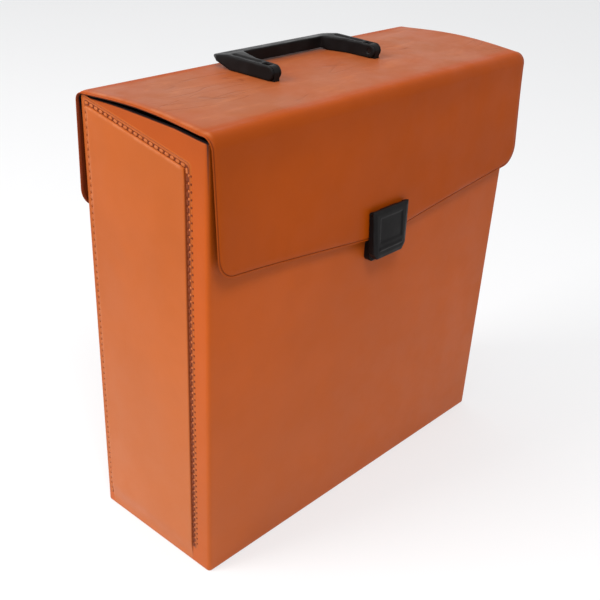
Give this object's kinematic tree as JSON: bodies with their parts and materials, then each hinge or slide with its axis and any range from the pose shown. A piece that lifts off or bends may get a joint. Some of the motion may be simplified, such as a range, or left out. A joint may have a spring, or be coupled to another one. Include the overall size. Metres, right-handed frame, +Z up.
{
  "type": "record case",
  "caption": "Upright carrying case for long-playing records: vinyl-covered board box with a folding saddle lid, front flap, pivoting snap latch and a swinging bail handle.",
  "frame": {"origin": "centre of the base, on the floor", "axes": "+Z up, front with the latch toward -Y, +X to the right seen from the front"},
  "size_m": [0.3396, 0.1397, 0.3434],
  "materials": {
    "vinyl": "satin",
    "vinyl_end": "satin",
    "inner_skin": "matte",
    "lining": "matte",
    "board": "matte",
    "black_plastic": "satin",
    "steel": "satin"
  },
  "bodies": {
    "case": {"base_cover": "vinyl", "base_board": "board", "front_board": "board", "back_board": "board", "left_end_board": "board", "right_end_board": "board", "wall_cover": "vinyl", "left_end_panel": "vinyl_end", "right_end_panel": "vinyl_end", "base_lining": "lining", "front_lining": "lining", "back_lining": "lining", "left_lining": "lining", "right_lining": "lining", "rear_flap_board": "board", "rear_flap_cover": "vinyl", "rear_flap_skin": "inner_skin", "rear_flap_rivets": "steel", "back_fold_strip": "vinyl", "keeper": "black_plastic", "keeper_rivets": "steel", "keeper_washers": "steel"},
    "lid": {"lid_board": "board", "lid_cover": "vinyl", "lid_skin": "inner_skin", "front_fold_strip": "vinyl", "handle_bracket_left": "black_plastic", "handle_bracket_right": "black_plastic", "handle_rivets": "steel", "handle_bar": "steel"},
    "handle": {"handle": "black_plastic", "handle_pin_left": "steel", "handle_pin_right": "steel"},
    "flap": {"flap_board": "board", "flap_cover": "vinyl", "flap_skin": "inner_skin", "latch_base": "black_plastic", "latch_rivets": "steel", "latch_washers": "steel", "latch_pin": "steel"},
    "latch": {"latch_lever": "black_plastic"}
  },
  "joints": [
    {"name": "lid_hinge", "type": "hinge", "parent": "case", "child": "lid", "pos_m": [0, 0.0557, 0.3258], "axis": [-1, 0, 0], "range_deg": [0, 115], "deforming": ["back_fold_strip"]},
    {"name": "flap_fold", "type": "hinge", "parent": "lid", "child": "flap", "pos_m": [0, -0.0554, 0.3238], "axis": [-1, 0, 0], "range_deg": [0, 90], "deforming": ["front_fold_strip"]},
    {"name": "handle_pivot", "type": "hinge", "parent": "lid", "child": "handle", "pos_m": [0, 0, 0.3383], "axis": [1, 0, 0], "range_deg": [0, 180]},
    {"name": "latch_pivot", "type": "hinge", "parent": "flap", "child": "latch", "pos_m": [0, -0.06921, 0.2474], "axis": [-1, 0, 0], "range_deg": [0, 70]}
  ]
}
